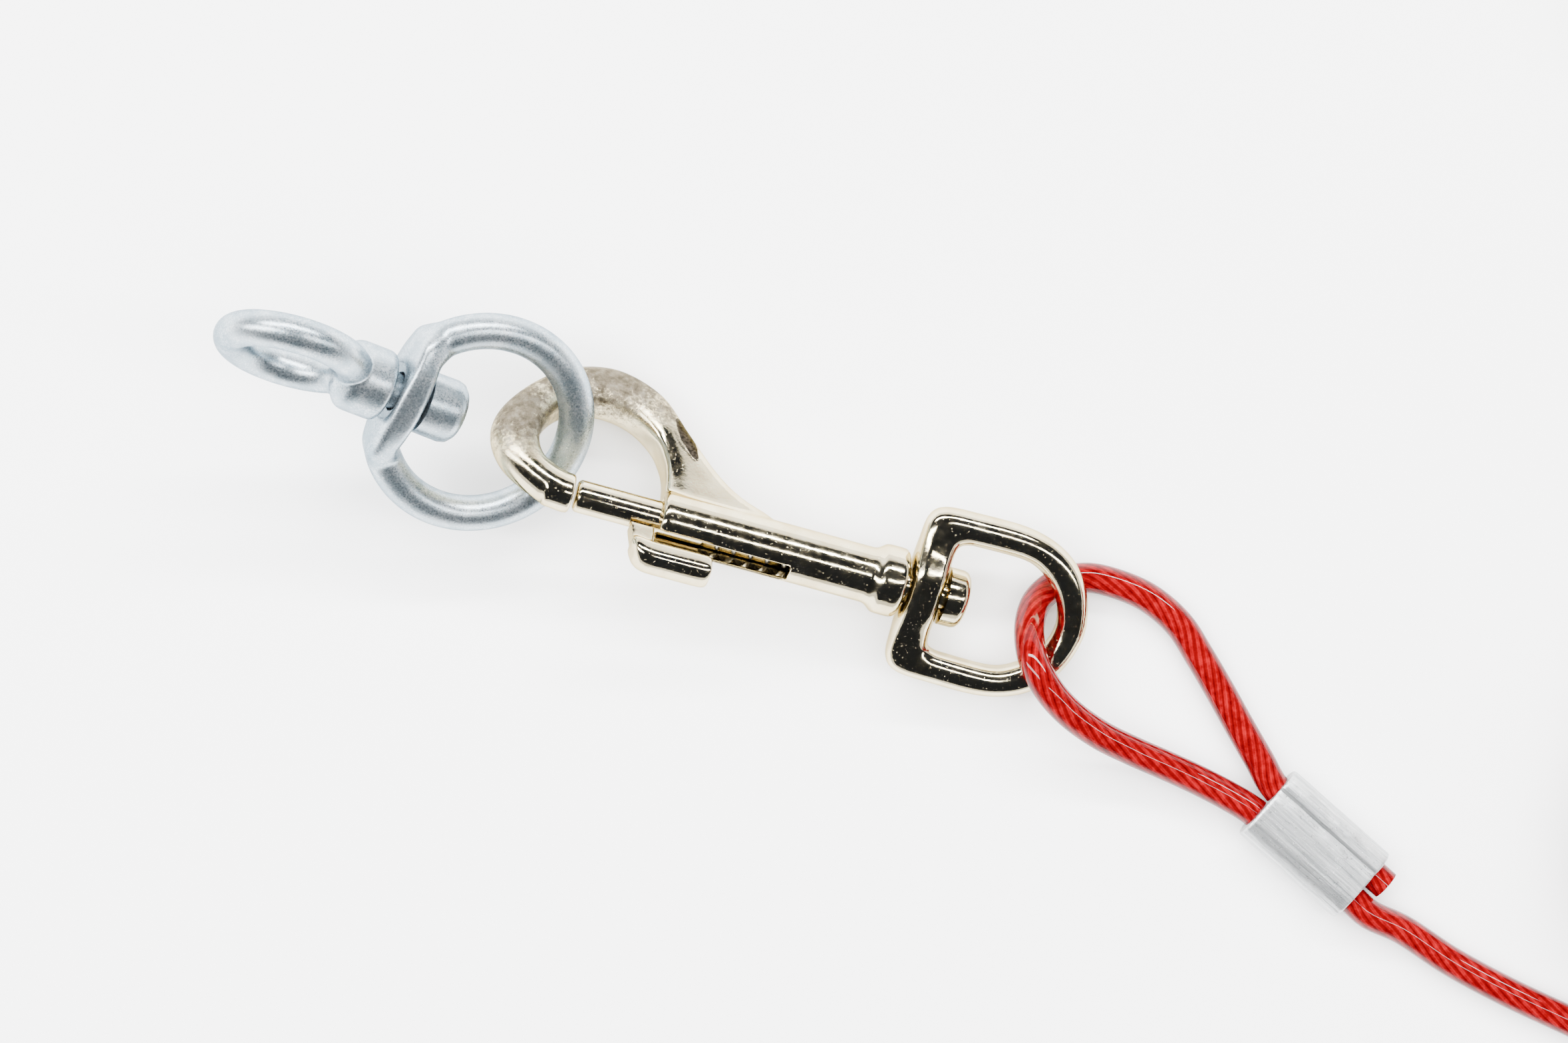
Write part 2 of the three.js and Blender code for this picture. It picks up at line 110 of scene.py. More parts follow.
def loft(rings, closed=False):
    """Faces between rings of points. Closed joins the last ring to the first; otherwise ends are capped."""
    rings = np.asarray(rings, float)
    count, sides = rings.shape[:2]
    vertices = rings.reshape(-1, 3)
    faces = []
    for i in range(count if closed else count - 1):
        a, b = i * sides, ((i + 1) % count) * sides
        for j in range(sides):
            k = (j + 1) % sides
            faces.append((a + j, a + k, b + k, b + j))
    if not closed:
        faces.append(tuple(range(sides))[::-1])
        faces.append(tuple(range((count - 1) * sides, count * sides)))
    return vertices, faces


def lathe(profile, sides=64):
    """A solid of revolution about X from (x, radius) points with radius over 0."""
    angles = np.linspace(0, 2 * math.pi, sides, endpoint=False)
    rings = [[(x, r * math.cos(a), r * math.sin(a)) for a in angles] for x, r in profile]
    return loft(rings)


def rounded(profile, radius=0.3, steps=4):
    """The profile with all its corners but the two ends rounded."""
    points = [profile[0]]
    for before, at, after in zip(profile, profile[1:], profile[2:]):
        before, at, after = (np.array(p, float) for p in (before, at, after))
        a, b = before - at, after - at
        la, lb = np.linalg.norm(a), np.linalg.norm(b)
        cut = min(radius, 0.45 * la, 0.45 * lb)
        start, end = at + a / la * cut, at + b / lb * cut
        for t in np.linspace(0, 1, steps):
            points.append(tuple((1 - t) ** 2 * start + 2 * t * (1 - t) * at + t * t * end))
    points.append(profile[-1])
    return points


def spline(points, spacing):
    """Catmull-Rom (centripetal) through the points, resampled evenly."""
    p = np.asarray(points, float)
    p = np.vstack([2 * p[0] - p[1], p, 2 * p[-1] - p[-2]])
    out = []
    for i in range(1, len(p) - 2):
        q = p[i - 1:i + 3]
        gaps = np.sqrt(np.linalg.norm(np.diff(q, axis=0), axis=1)) + 1e-9
        t = np.concatenate([[0], np.cumsum(gaps)])
        for s in np.linspace(t[1], t[2], 24, endpoint=False):
            a = [(q[k] * (t[k + 1] - s) + q[k + 1] * (s - t[k])) / (t[k + 1] - t[k]) for k in range(3)]
            b = [(a[k] * (t[k + 2] - s) + a[k + 1] * (s - t[k])) / (t[k + 2] - t[k]) for k in range(2)]
            out.append((b[0] * (t[2] - s) + b[1] * (s - t[1])) / (t[2] - t[1]))
    out.append(p[-2])
    return even(np.array(out), spacing)


def even(line, spacing):
    """The line with evenly spaced points."""
    along = np.concatenate([[0], np.cumsum(np.linalg.norm(np.diff(line, axis=0), axis=1))])
    steps = max(2, int(round(along[-1] / spacing)) + 1)
    return np.stack([np.interp(np.linspace(0, along[-1], steps), along, line[:, k]) for k in range(3)], 1)


def frames_along(line):
    """Two directions square to the line at each point, carried along it without twisting."""
    tangents = np.gradient(line, axis=0)
    tangents /= np.linalg.norm(tangents, axis=1)[:, None]
    side = np.cross((0, 0, 1), tangents[0])
    if np.linalg.norm(side) < 1e-6:
        side = np.cross((1, 0, 0), tangents[0])
    sides = []
    for t in tangents:
        side = side - t * side.dot(t)
        side /= np.linalg.norm(side)
        sides.append(side)
    sides = np.array(sides)
    return sides, np.cross(tangents, sides)


def tube(line, radius, sides):
    side, up = frames_along(line)
    angles = np.linspace(0, 2 * math.pi, sides, endpoint=False)
    ring = np.stack([np.cos(angles), np.sin(angles)], 1) * radius
    return line[:, None] + ring[None, :, :1] * side[:, None] + ring[None, :, 1:] * up[:, None]


def put(name, mesh, matrix, material, body, node=None, sharp=35):
    """Places a mesh made in millimetres, keeps its coordinates for its material, and rides it on a body."""
    flat = np.empty(3 * len(mesh.vertices), np.float32)
    mesh.vertices.foreach_get("co", flat)
    mesh.attributes.new("loc", "FLOAT_VECTOR", "POINT").data.foreach_set("vector", flat)
    mesh.transform(Matrix.Scale(MM, 4) @ matrix)
    mesh.polygons.foreach_set("use_smooth", [True] * len(mesh.polygons))
    mesh.set_sharp_from_angle(angle=math.radians(sharp))
    piece = bpy.data.objects.new(name, mesh)
    bpy.context.collection.objects.link(piece)
    piece.data.materials.clear()
    piece.data.materials.append(material)
    if node:
        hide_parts(*([node] if isinstance(node, str) else node))
    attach(piece, body)
    return piece


def modified(mesh, *settings):
    """The mesh after the modifiers, each given as (type, {property: value})."""
    piece = bpy.data.objects.new("working", mesh)
    bpy.context.collection.objects.link(piece)
    for kind, values in settings:
        modifier = piece.modifiers.new(kind, kind)
        for key, value in values.items():
            setattr(modifier, key, value)
    bpy.context.view_layer.update()
    result = bpy.data.meshes.new_from_object(piece.evaluated_get(bpy.context.evaluated_depsgraph_get()))
    bpy.data.objects.remove(piece)
    return result


def joined(name, *parts):
    """One mesh of several (vertices, faces) parts."""
    vertices, faces, start = [], [], 0
    for v, f in parts:
        vertices += [tuple(x) for x in v]
        faces += [tuple(i + start for i in face) for face in f]
        start += len(v)
    return mesh_of(name, vertices, faces)


def cast(name, parts, cuts=(), voxel=0.25, smooth=6, fillet=0):
    """One casting: parts fused, cuts taken out, edges softened by fillet and smooth passes."""
    mesh = modified(joined(name, *parts), ("REMESH", {"mode": "VOXEL", "voxel_size": voxel}))
    if fillet:
        mesh = modified(mesh, ("SMOOTH", {"factor": 0.5, "iterations": fillet}))
    for cut in cuts:
        tool = bpy.data.objects.new("cut", joined("cut", cut))
        bpy.context.collection.objects.link(tool)
        mesh = modified(mesh, ("BOOLEAN", {"operation": "DIFFERENCE", "solver": "EXACT", "object": tool}))
        bpy.data.objects.remove(tool)
    if cuts:
        mesh = modified(mesh, ("REMESH", {"mode": "VOXEL", "voxel_size": voxel * 0.8}))
    return modified(mesh, ("SMOOTH", {"factor": 0.5, "iterations": smooth}))


def box_part(low, high):
    (x0, y0, z0), (x1, y1, z1) = low, high
    v = [(x, y, z) for x in (x0, x1) for y in (y0, y1) for z in (z0, z1)]
    return v, [(0, 1, 3, 2), (4, 6, 7, 5), (0, 4, 5, 1), (2, 3, 7, 6), (0, 2, 6, 4), (1, 5, 7, 3)]


# ---- materials ----
class Nodes:
    """A small builder for one material's nodes."""

    def __init__(self, name, **principled):
        self.material = bpy.data.materials.new(name)
        self.material.use_nodes = True
        self.tree = self.material.node_tree
        self.shader = self.tree.nodes["Principled BSDF"]
        for key, value in principled.items():
            self.shader.inputs[key.replace("_", " ")].default_value = value

    def node(self, kind, inputs=(), **settings):
        made = self.tree.nodes.new(kind)
        for key, value in settings.items():
            setattr(made, key, value)
        for key, value in dict(inputs).items():
            self.link(value, made.inputs[key])
        return made

    def link(self, value, socket):
        if isinstance(value, bpy.types.NodeSocket):
            self.tree.links.new(value, socket)
        else:
            socket.default_value = value

    def set(self, name, value):
        self.link(value, self.shader.inputs[name])

    def local(self, scale=(1, 1, 1)):
        """The piece's own coordinates in millimetres, times scale."""
        kept = self.node("ShaderNodeAttribute", attribute_name="loc")
        return self.node("ShaderNodeMapping", {"Vector": kept.outputs["Vector"], "Scale": scale}).outputs[0]

    def attribute(self, name):
        return self.node("ShaderNodeAttribute", attribute_name=name).outputs["Fac"]

    def noise(self, scale, detail=4, at=None, roughness=0.55):
        inputs = {"Vector": at or self.local(), "Scale": scale, "Detail": detail, "Roughness": roughness}
        return self.node("ShaderNodeTexNoise", inputs).outputs["Fac"]

    def ramp(self, value, *stops):
        made = self.node("ShaderNodeValToRGB", {"Fac": value})
        elements = made.color_ramp.elements
        while len(elements) < len(stops):
            elements.new(0.5)
        for element, (at, level) in zip(elements, stops):
            element.position = at
            element.color = (*level, 1) if isinstance(level, tuple) else (level, level, level, 1)
        return made.outputs["Color"]

    def math(self, operation, *values):
        made = self.node("ShaderNodeMath", operation=operation)
        for i, value in enumerate(values):
            self.link(value, made.inputs[i])
        return made.outputs[0]

    def mix(self, factor, a, b):
        made = self.node("ShaderNodeMix", data_type="RGBA")
        self.link(factor, made.inputs["Factor"])
        for socket, value in (("A", a), ("B", b)):
            target = [s for s in made.inputs if s.name == socket and s.type == "RGBA"][0]
            self.link((*value, 1) if isinstance(value, tuple) and len(value) == 3 else value, target)
        return [s for s in made.outputs if s.type == "RGBA"][0]

    def bump(self, height, distance, strength=1.0, normal=None):
        inputs = {"Height": height, "Distance": distance * MM, "Strength": strength}
        if normal:
            inputs["Normal"] = normal
        return self.node("ShaderNodeBump", inputs).outputs[0]


def nickel(name="nickel", worn=False):
    """Bright plating over a die casting: faint waves and fine pits, and on a worn piece dull rubbed metal."""
    n = Nodes(name, Metallic=1.0, Specular_Tint=(0.62, 0.56, 0.42, 1))
    grain, coarse = n.noise(2.6, 5, roughness=0.6), n.noise(0.35, 3)
    colour = n.ramp(coarse, (0.35, (0.62, 0.53, 0.33)), (0.7, (0.74, 0.66, 0.45)))
    rough = n.ramp(n.noise(0.9, 4), (0.35, 0.06), (0.75, 0.17))
    pits = n.ramp(n.noise(3.4, 4, roughness=0.6), (0.66, 0.0), (0.72, 1.0))
    normal = n.bump(n.noise(0.5, 2), 0.06, 0.3)
    normal = n.bump(grain, 0.022, 0.4, normal)
    normal = n.bump(n.math("SUBTRACT", 1.0, pits), 0.03, 0.5, normal)
    if worn:
        worn_at = n.attribute("wear")
        rubbed = n.noise(1.3, 7, roughness=0.75)
        rubbed_at = n.math("MULTIPLY_ADD", rubbed, 1.1, n.math("MULTIPLY", worn_at, 0.6))
        mask = n.ramp(rubbed_at, (0.74, 0.0), (0.98, 1.0))
        dull = n.ramp(n.noise(0.7, 6, roughness=0.7), (0.32, (0.035, 0.028, 0.018)),
                      (0.5, (0.12, 0.10, 0.07)), (0.7, (0.24, 0.21, 0.16)))
        colour = n.mix(mask, colour, dull)
        rough = n.mix(mask, rough, n.ramp(grain, (0.3, 0.42), (0.8, 0.26)))
        patch = n.math("SUBTRACT", n.attribute("patch"), 0.35)
        edge = n.math("MULTIPLY_ADD", n.noise(1.8, 5, roughness=0.7), 0.7, patch)
        dark = n.ramp(edge, (0.4, 0.0), (0.55, 1.0))
        colour = n.mix(dark, colour, n.ramp(grain, (0.4, (0.012, 0.010, 0.008)), (0.7, (0.07, 0.058, 0.045))))
        rough = n.mix(dark, rough, (0.34, 0.34, 0.34))
        n.set("Metallic", n.math("SUBTRACT", 1.0, n.math("MULTIPLY", mask, 0.3)))
        rough_at = n.math("ADD", worn_at, n.attribute("patch"))
        pitted = n.math("MULTIPLY", n.noise(1.5, 6, roughness=0.7), rough_at)
        normal = n.bump(pitted, 0.3, 0.55, normal)
    n.set("Base Color", colour)
    n.set("Roughness", rough)
    n.set("Normal", normal)
    return n.material


def zinc():
    """Satin blue-grey plating, frosted with fine bright specks."""
    n = Nodes("zinc", Metallic=0.95, Specular_Tint=(0.42, 0.47, 0.51, 1))
    frost = n.noise(4.0, 6, roughness=0.75)
    cloud = n.noise(0.22, 4)
    colour = n.ramp(cloud, (0.35, (0.27, 0.34, 0.385)), (0.65, (0.40, 0.46, 0.50)))
    speck_at = n.math("MULTIPLY_ADD", frost, 0.8, n.math("MULTIPLY", n.noise(0.5, 3), 0.35))
    speck = n.ramp(speck_at, (0.56, 0.0), (0.68, 1.0))
    colour = n.mix(n.math("MULTIPLY", speck, 0.7), colour, (0.66, 0.71, 0.74))
    n.set("Base Color", colour)
    n.set("Roughness", n.ramp(frost, (0.35, 0.24), (0.7, 0.38)))
    n.set("Normal", n.bump(frost, 0.035, 0.4, n.bump(n.noise(0.45, 2), 0.08, 0.25)))
    return n.material


def pressed_aluminium():
    """Pressed between smooth dies: satin, with fine scratches along it and small dents."""
    n = Nodes("pressed_aluminium", Metallic=0.9, Specular_Tint=(0.6, 0.6, 0.6, 1))
    scratch = n.noise(1.0, 6, n.local((0.07, 2.2, 2.2)), 0.7)
    spots = n.noise(2.6, 5, roughness=0.7)
    n.set("Base Color", n.ramp(scratch, (0.35, (0.36, 0.38, 0.39)), (0.62, (0.80, 0.81, 0.81))))
    n.set("Roughness", n.ramp(spots, (0.35, 0.26), (0.7, 0.36)))
    n.set("Normal", n.bump(spots, 0.008, 0.3, n.bump(scratch, 0.16, 0.7)))
    return n.material


def coated_rope():
    """Twisted steel strands under a clear red coat. UV is (millimetres along, share of a turn round)."""
    n = Nodes("coated_rope", Coat_Weight=0.7, Coat_Roughness=0.03, Coat_IOR=1.4, Specular_IOR_Level=0.0)
    split = n.node("ShaderNodeSeparateXYZ", {"Vector": n.node("ShaderNodeUVMap", uv_map="rope").outputs[0]})
    along, round_ = split.outputs[0], split.outputs[1]

    def wave(count, lay):
        """Ridges round the rope, count of them, that turn back one ridge in lay millimetres."""
        turned_back = n.math("MULTIPLY", along, 1.0 / lay)
        phase = n.math("SUBTRACT", n.math("MULTIPLY", round_, float(count)), turned_back)
        return n.math("ABSOLUTE", n.math("SINE", n.math("MULTIPLY", phase, math.pi)))

    strands, wires = wave(12, 2.4), wave(34, 0.85)
    broken = n.noise(0.8, 4, roughness=0.65)
    height = n.math("MULTIPLY_ADD", wires, 0.25, n.math("MULTIPLY", strands, 0.75))
    # Base colour: painted glints, lighter on the strands' crowns, and painted shade, darker in the grooves
    # between strands, mixed with random tone from the broken noise.
    tone_and_painted_glint = n.math("MULTIPLY_ADD", height, 0.45, n.math("MULTIPLY", broken, 0.85))
    n.set("Base Color", n.ramp(tone_and_painted_glint, (0.3, (0.026, 0.0, 0.0003)), (0.5, (0.07, 0.0, 0.0009)),
                               (0.72, (0.11, 0.0, 0.0014)), (0.95, (0.22, 0.003, 0.006))))
    n.set("Roughness", 0.34)
    n.set("Normal", n.bump(n.math("MULTIPLY", height, broken), 0.3, 0.6))
    return n.material


def strap_plastic():
    """Black woven strap."""
    n = Nodes("strap_plastic", Specular_IOR_Level=0.4)
    weave = n.noise(3.0, 3, n.local((4, 1, 1)))
    n.set("Base Color", n.ramp(weave, (0.3, (0.003, 0.003, 0.0035)), (0.7, (0.009, 0.009, 0.010))))
    n.set("Roughness", n.ramp(weave, (0.3, 0.45), (0.7, 0.65)))
    n.set("Normal", n.bump(weave, 0.08, 0.5))
    return n.material


def bare_wire():
    """Bright steel wire, for the strands' cut ends and the return springs."""
    n = Nodes("bare_wire", Metallic=1.0, Roughness=0.3)
    n.set("Base Color", n.ramp(n.noise(1.5, 3), (0.3, (0.45, 0.44, 0.42)), (0.7, (0.66, 0.65, 0.63))))
    return n.material


NICKEL, WORN, ZINC = nickel(), nickel("nickel_worn", True), zinc()
ALUMINIUM, COAT, STRAP, WIRE = pressed_aluminium(), coated_rope(), strap_plastic(), bare_wire()


# ---- rope ----
def placed(matrix, points):
    return [tuple(matrix @ Vector(p)) for p in points]


def rope_piece(name, line, body, nodes, sides=24):
    """A coated rope along a line in world millimetres, with its cut faces closed."""
    rings = tube(line, ROPE_R, sides)
    vertices, faces = loft(rings)
    mesh = mesh_of(name, vertices, faces)
    layer = mesh.uv_layers.new(name="rope")
    along = np.concatenate([[0], np.cumsum(np.linalg.norm(np.diff(line, axis=0), axis=1))])
    for polygon in mesh.polygons:
        for loop, vertex in zip(polygon.loop_indices, polygon.vertices):
            ring, k = divmod(vertex, sides)
            share = k / sides
            at_seam = any(v % sides == sides - 1 for v in polygon.vertices)
            if len(polygon.vertices) == 4 and share == 0 and at_seam:
                share = 1.0
            layer.data[loop].uv = (along[ring], share)
    return put(name, mesh, Matrix.Identity(4), COAT, body, nodes, sharp=50)


EYE_ROUTE = [
    (84.3, -10, 2.9), (80.5, -6.2, 2.4), (76.9, -2.5, 2.15), (73.1, 1.2, 2.1), (69.4, 4.5, 2.1),
    (64.8, 6.7, 2.1), (60.5, 7.4, 2.1), (56.2, 7.2, 2.1), (52.6, 5.4, 2.4), (50.6, 2.6, 3.5),
    (50.3, -1, 6.3), (51.7, -4.9, 9.3), (54.3, -7.9, 10.1), (57.7, -10.2, 9.2), (62.6, -12.1, 7.3),
    (67.5, -13.1, 5.4), (72.2, -13.8, 4.4), (77, -14.6, 3.7), (81.6, -15.6, 3.4),
]
RUN_TO_COIL = [
    (81.2, -53.6, 2.5), (87.6, -57.8, 2.1), (94.6, -61.6, 2.05), (101.6, -64.9, 2.05), (108.5, -68, 2.05),
    (115.2, -70.6, 2.1), (122, -72.4, 2.6),
]
RUN_FROM_COIL = [
    (165.1, -65.9, 14.6), (170.2, -59.4, 11.7), (173.6, -51.6, 7.6), (175.0, -43.4, 4.1), (174.6, -35.4, 2.6),
]
COIL_CENTRE, COIL_R, COIL_PITCH, COIL_Z = (139, -41), 23.0, 4.1, 3.3
ENTRY_ANGLE, EXIT_ANGLE = -92, -74
SHIFT = 70  # degrees of each turn in which the rope moves over to the next place


def coil_points():
    """The coil's turns, each at its (column, row) place, layer on layer."""
    places = ([(c, 0) for c in (2, 1, 0, -1, -2)] + [(c, 1) for c in (-2, -1, 0, 1, 2)]
              + [(c, 2) for c in (2, 1, 0, -1)] + [(c, 3) for c in (-1, 0, 1, 2)])
    step, points = 10, []
    last = 360 * len(places) + EXIT_ANGLE - ENTRY_ANGLE
    for degrees in range(0, last + 1, step):
        i, within = divmod(degrees, 360)
        here = places[min(i, len(places) - 1)]
        ahead = places[min(i + 1, len(places) - 1)]
        t = min(1, max(0, (within - (360 - SHIFT)) / SHIFT))
        t = t * t * (3 - 2 * t)
        column, row = (here[k] + (ahead[k] - here[k]) * t for k in (0, 1))
        radius, angle = COIL_R + column * COIL_PITCH, math.radians(ENTRY_ANGLE + degrees)
        points.append((COIL_CENTRE[0] + radius * math.cos(angle), COIL_CENTRE[1] + radius * math.sin(angle),
                       COIL_Z + row * COIL_PITCH))
    return points


def shifted(points):
    return [(x - CENTRE[0], y - CENTRE[1], z) for x, y, z in points]


def leg(ground, *alongs):
    """Points of the rope's own leg through the sleeve, at these places along it."""
    return placed(ground, [beside_sleeve(a, -LEG_SPACING / 2) for a in alongs])


HALF = SLEEVE_LENGTH / 2


def eye_line(ground):
    """The soft eye, from the rope's cut end through the sleeve and round the loop, back into the sleeve."""
    upper = [beside_sleeve(a, LEG_SPACING / 2) for a in (HALF + 2.4, 0, -HALF - 0.5)]
    lower = [beside_sleeve(a, -LEG_SPACING / 2) for a in (-HALF - 0.5, -1)]
    return spline(placed(ground, [*upper, *EYE_ROUTE, *lower]), 0.5)


cord_line = spline([*leg(NEAR[0], 0, HALF + 0.5, HALF + 3.2), *shifted(RUN_TO_COIL), *shifted(coil_points()),
                    *shifted(RUN_FROM_COIL), *leg(FAR[0], HALF + 3.2, HALF + 0.5, 0)], 0.9)
rope_piece("near_eye_rope", eye_line(NEAR[0]), "cable", ["eye_coat", "eye_rope_core"])
far_eye = rope_piece("far_eye_rope", eye_line(FAR[0]), "cable", ["far_eye_coat", "far_eye_rope_core"])


def cut_end(name, line):
    """The steel strands that show where the rope was cut: six round one in the middle."""
    strands = []
    for k in range(7):
        angle, out = math.radians(60 * k), 0.86 if k < 6 else 0
        vertices, faces = lathe([(-0.3, 0.42), (0.12, 0.42), (0.2, 0.3)], 12)
        strands.append((np.asarray(vertices) + (0, out * math.cos(angle), out * math.sin(angle)), faces))
    outwards = Vector(line[0] - line[1]).to_track_quat("X", "Z").to_matrix().to_4x4()
    return put(name, joined(name, *strands), Matrix.Translation(line[0]) @ outwards, WIRE, "cable")


cut_end("near_cut_end", eye_line(NEAR[0]))
far_cut_end = cut_end("far_cut_end", eye_line(FAR[0]))
cord = rope_piece("rope", cord_line, "cable", ["rope_run_to_coil", "rope_coil", "rope_run_from_coil"], 14)


# ---- sleeves and ties ----
def sleeve_mesh():
    h, t = SLEEVE_WIDTH / 2, SLEEVE_HEIGHT / 2
    outline = [(-2.4, -t), (2.4, -t), (4.1, -t + 0.45), (5.0, -t + 1.3), (h, -0.6), (h, 0.6), (5.1, t - 1.35),
               (4.2, t - 0.5), (3.4, t - 0.12), (2.75, t - 0.15), (2.35, t - 0.62), (2.05, t - 0.68),
               (1.75, t - 0.45), (1.2, t - 0.1), (0.2, t - 0.02), (-1.4, t), (-2.8, t - 0.1),
               (-4.2, t - 0.55), (-5.1, t - 1.4), (-h, 0.6), (-h, -0.6), (-5.0, -t + 1.3), (-4.1, -t + 0.45)]
    closed = np.array([(0, y, z) for y, z in outline] + [(0, *outline[0])])
    section = even(closed, 0.35)[:-1]
    edge = [(0, 0.955), (0.12, 0.985), (0.4, 1.0)]  # depth in from an end, how full the section is there
    places = [*[(-HALF + depth, scale) for depth, scale in edge], *[(x, 1.0) for x in np.linspace(-7, 7, 15)],
              *[(HALF - depth, scale) for depth, scale in edge[::-1]]]
    rings = []
    for x, scale in places:
        wave = 0.05 * math.sin(x * 0.9) + 0.04 * math.sin(x * 2.3 + 1)
        ring = section * scale
        ring = ring + np.stack([np.full(len(ring), float(x)), 0.3 * wave * np.sign(ring[:, 1]),
                                np.where(ring[:, 2] > 0, wave * 0.6, 0)], 1)
        ring[:, 2] = np.maximum(ring[:, 2], -t)
        rings.append(ring)
    return mesh_of("sleeve", *loft(rings))


def sleeve_piece(name, ground, node):
    matrix = ground @ Matrix.Translation(SLEEVE_AT) @ turn(SLEEVE_TURN, "Z")
    return put(name, sleeve_mesh(), matrix, ALUMINIUM, "cable", node, sharp=40)


sleeve_piece("near_sleeve", NEAR[0], "pressed_sleeve")
far_sleeve = sleeve_piece("far_sleeve", FAR[0], "far_pressed_sleeve")


def tie_mesh():
    """A strap round the coil's section: +X outwards, +Z up, 3.9 mm wide along Y, with its overlap on top."""
    clear, z0, r = 0.8, 0.5, 3.0  # the strap's middle off the rope, its height off the ground, its corners
    x = 2 * COIL_PITCH + ROPE_R + clear
    z1 = COIL_Z + 3 * COIL_PITCH + ROPE_R + clear
    corners = [(x - r, z0 + r, -90), (x - r, z1 - r, 0), (-x + r, z1 - r, 90), (-x + r, z0 + r, 180)]
    line = [(cx + r * math.cos(math.radians(a0 + d)), 0, cz + r * math.sin(math.radians(a0 + d)))
            for cx, cz, a0 in corners for d in range(0, 91, 15)]
    line = np.array(line)
    outward = np.roll(line, -1, 0) - np.roll(line, 1, 0)
    outward /= np.linalg.norm(outward, axis=1)[:, None]
    normal = np.stack([outward[:, 2], np.zeros(len(line)), -outward[:, 0]], 1)
    shape = [(-0.42, -1.8), (-0.3, -1.95), (0.3, -1.95), (0.42, -1.8),
             (0.42, 1.8), (0.3, 1.95), (-0.3, 1.95), (-0.42, 1.8)]
    rings = [[p + n * a + np.array([0, b, 0]) for a, b in shape] for p, n in zip(line, normal)]
    band = loft(rings, closed=True)
    buckle = box_part((-3.4, -2.0, z1 + 0.1), (3.4, 2.0, z1 + 0.45))
    return joined("tie", band, buckle)


for i, angle in enumerate((60, 180, 300)):
    at = Matrix.Translation((COIL_CENTRE[0] - CENTRE[0], COIL_CENTRE[1] - CENTRE[1], 0)) @ turn(angle, "Z")
    at = at @ Matrix.Translation((COIL_R, 0, 0))
    put(f"strap_{i + 1}", tie_mesh(), at, STRAP, "cable", f"coil_tie_{i + 1}")


# ---- bolt snap, in its own frame: +X from the hook to the swivel eye, +Y towards the hook's bow ----
BARREL_R, BARREL_LENGTH, COLLAR_R, COLLAR_END = 3.7, 30.0, 4.65, 33.1
BOLT_R, BORE_R, BORE_DEPTH = 2.15, 2.45, 26.0
SPRING_START, SPRING_END, SPRING_TURNS, SPRING_R, SPRING_WIRE_R = 7.0, 25.2, 8, 1.75, 0.33
# The hook's inner and outer edge at each place from its root to its tip, its half thickness, and how square
# its inner and outer sides are.
HOOK = [
    ((0.4, -1), (17.5, 0.5), 2.75, 4, 4), ((0.1, 1.5), (15, 3.3), 2.75, 4, 4),
    ((-0.1, 4), (11.6, 4.6), 2.75, 4, 4), ((-0.3, 6), (8.7, 6.2), 2.75, 4, 4),
    ((-0.9, 8.2), (5.7, 8.9), 2.8, 4, 3.5), ((-2.5, 11), (2.0, 13.2), 2.9, 3.6, 3),
    ((-5.4, 13.2), (-2.4, 18.3), 2.95, 3.4, 2.6), ((-9, 14.1), (-8.6, 20.6), 3, 3.4, 2.4),
    ((-12.7, 13.5), (-14.6, 19.2), 3, 3.4, 2.3), ((-15.3, 11.7), (-19.4, 15.2), 3, 3.4, 2.3),
    ((-16.9, 8.9), (-22.8, 10.1), 2.95, 3.4, 2.3), ((-17.2, 6.2), (-23.5, 6), 2.9, 3.4, 2.3),
    ((-16.2, 3.9), (-21.6, 2.1), 2.85, 3, 2.3), ((-14.6, 2.9), (-17.6, -0.8), 2.75, 2.6, 2.2),
    ((-12.9, 2.6), (-13.8, -2.4), 2.65, 2.1, 2.1), ((-11.6, 2.6), (-11.6, -2.6), 2.6, 2, 2),
]


def superellipse(angle, inner, outer):
    """A point of a section that is round at power 2 and squarer above it, with its own power on each side."""
    c, s = math.cos(angle), math.sin(angle)
    n = outer if c > 0 else inner
    return math.copysign(abs(c) ** (2 / n), c), math.copysign(abs(s) ** (2 / n), s)


def edge_loft(stations, step=0.5, sides=40, closed=False):
    """A bar between two edges in the XY plane, from (inner, outer, half thickness, power, power) stations."""
    rows = np.array([[*a, *b, h, n, m] for a, b, h, n, m in stations], float)
    fine = []
    count = len(rows)
    for i in range(count if closed else count - 1):
        p = [rows[(i + k) % count] if closed else rows[min(max(i + k, 0), count - 1)] for k in (-1, 0, 1, 2)]
        gap = np.linalg.norm((p[2][:2] + p[2][2:4] - p[1][:2] - p[1][2:4]) / 2)
        for t in np.linspace(0, 1, max(2, int(gap / step)), endpoint=False):
            fine.append(0.5 * (2 * p[1] + (p[2] - p[0]) * t
                               + (2 * p[0] - 5 * p[1] + 4 * p[2] - p[3]) * t ** 2
                               + (3 * p[1] - p[0] - 3 * p[2] + p[3]) * t ** 3))
    if not closed:
        fine.append(rows[-1])
    rings = []
    for row in fine:
        inner, outer, half = row[:2], row[2:4], row[4]
        middle, reach = (inner + outer) / 2, (outer - inner) / 2
        ring = []
        for angle in np.linspace(0, 2 * math.pi, sides, endpoint=False):
            across, up = superellipse(angle, row[5], row[6])
            ring.append((*(middle + reach * across), half * up))
        rings.append(ring)
    return loft(rings, closed=closed)


def rod_part(start, end, radius, sides=48):
    return lathe([(start, radius), (end, radius)], sides)


